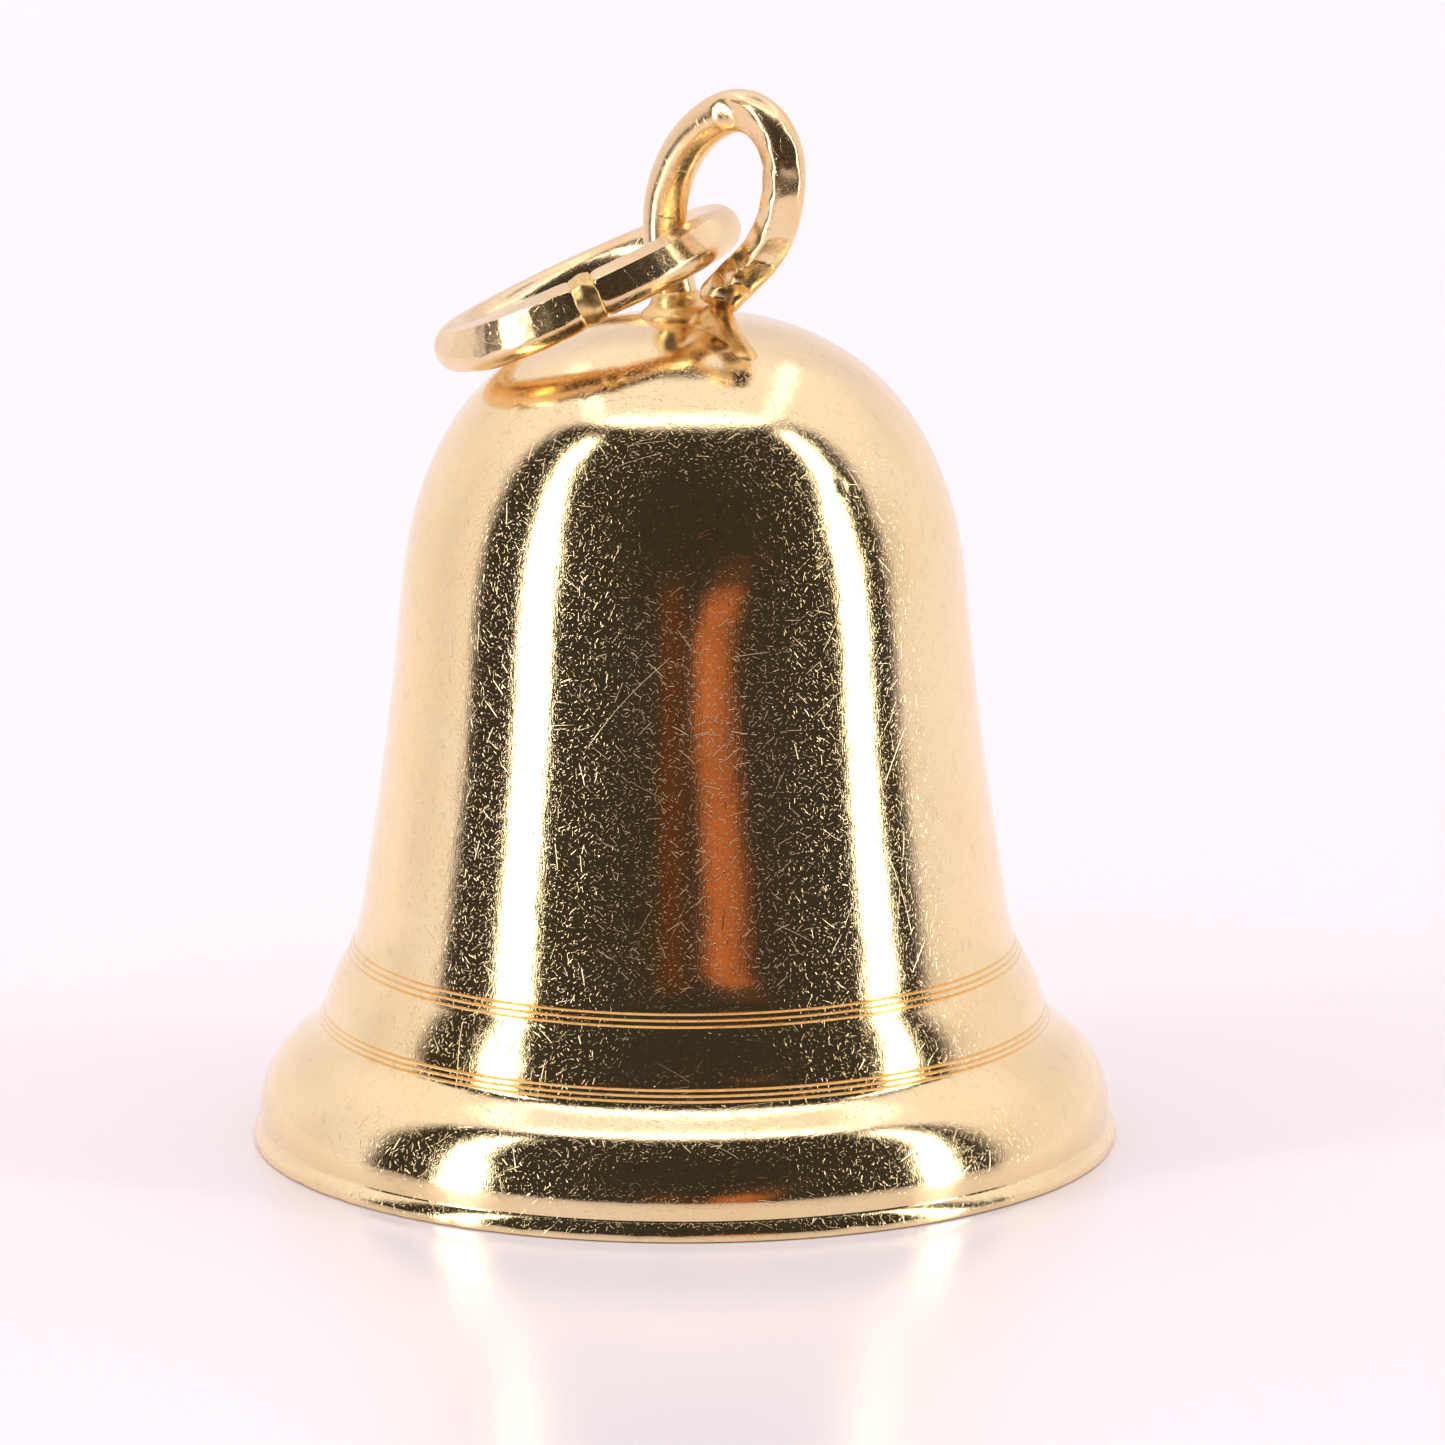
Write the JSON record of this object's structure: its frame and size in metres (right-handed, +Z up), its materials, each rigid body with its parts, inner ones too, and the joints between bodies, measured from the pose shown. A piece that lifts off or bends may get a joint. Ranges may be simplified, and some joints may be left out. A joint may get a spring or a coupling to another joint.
{
  "type": "bell charm",
  "caption": "Small gold church-bell charm with a soldered wire loop, a jump ring to hang it by, and a clapper swinging inside.",
  "frame": {"origin": "centre of the mouth, in the plane of the rim that the bell stands on", "axes": "+Z up along the bell's axis to the loop; -Y is the front; the loop leans to +X and the jump ring lies on the -X shoulder"},
  "size_m": [0.016, 0.016, 0.0197],
  "materials": {
    "shell_gold": "polished, finely scratched yellow gold",
    "wire_gold": "drawn and polished yellow gold wire",
    "solder_gold": "flowed gold solder, slightly darker and uneven",
    "clapper_gold": "satin yellow gold"
  },
  "bodies": {
    "bell": {"bell_shell": "shell_gold", "bail_loop": "wire_gold", "bail_solder": "solder_gold", "clapper_staple": "wire_gold", "staple_solder": "solder_gold"},
    "hanging_ring": {"jump_ring": "wire_gold", "jump_ring_solder": "solder_gold"},
    "link": {"clapper_link": "wire_gold"},
    "clapper": {"clapper_rod": "clapper_gold", "clapper_ball": "clapper_gold"}
  },
  "joints": [
    {"name": "ring_swing", "type": "hinge", "parent": "bell", "child": "hanging_ring", "pos_m": [0.0006, 0.0005, 0.01691], "axis": [0.0312, 0.9972, -0.0682], "range_deg": [0, 115]},
    {"name": "link_swing", "type": "hinge", "parent": "bell", "child": "link", "pos_m": [0, 0, 0.01325], "axis": [1, 0, 0], "range_deg": [-27, 27]},
    {"name": "clapper_sway", "type": "hinge", "parent": "link", "child": "clapper", "pos_m": [0, 0, 0.01155], "axis": [0, 1, 0], "range_deg": [-8, 8]}
  ]
}
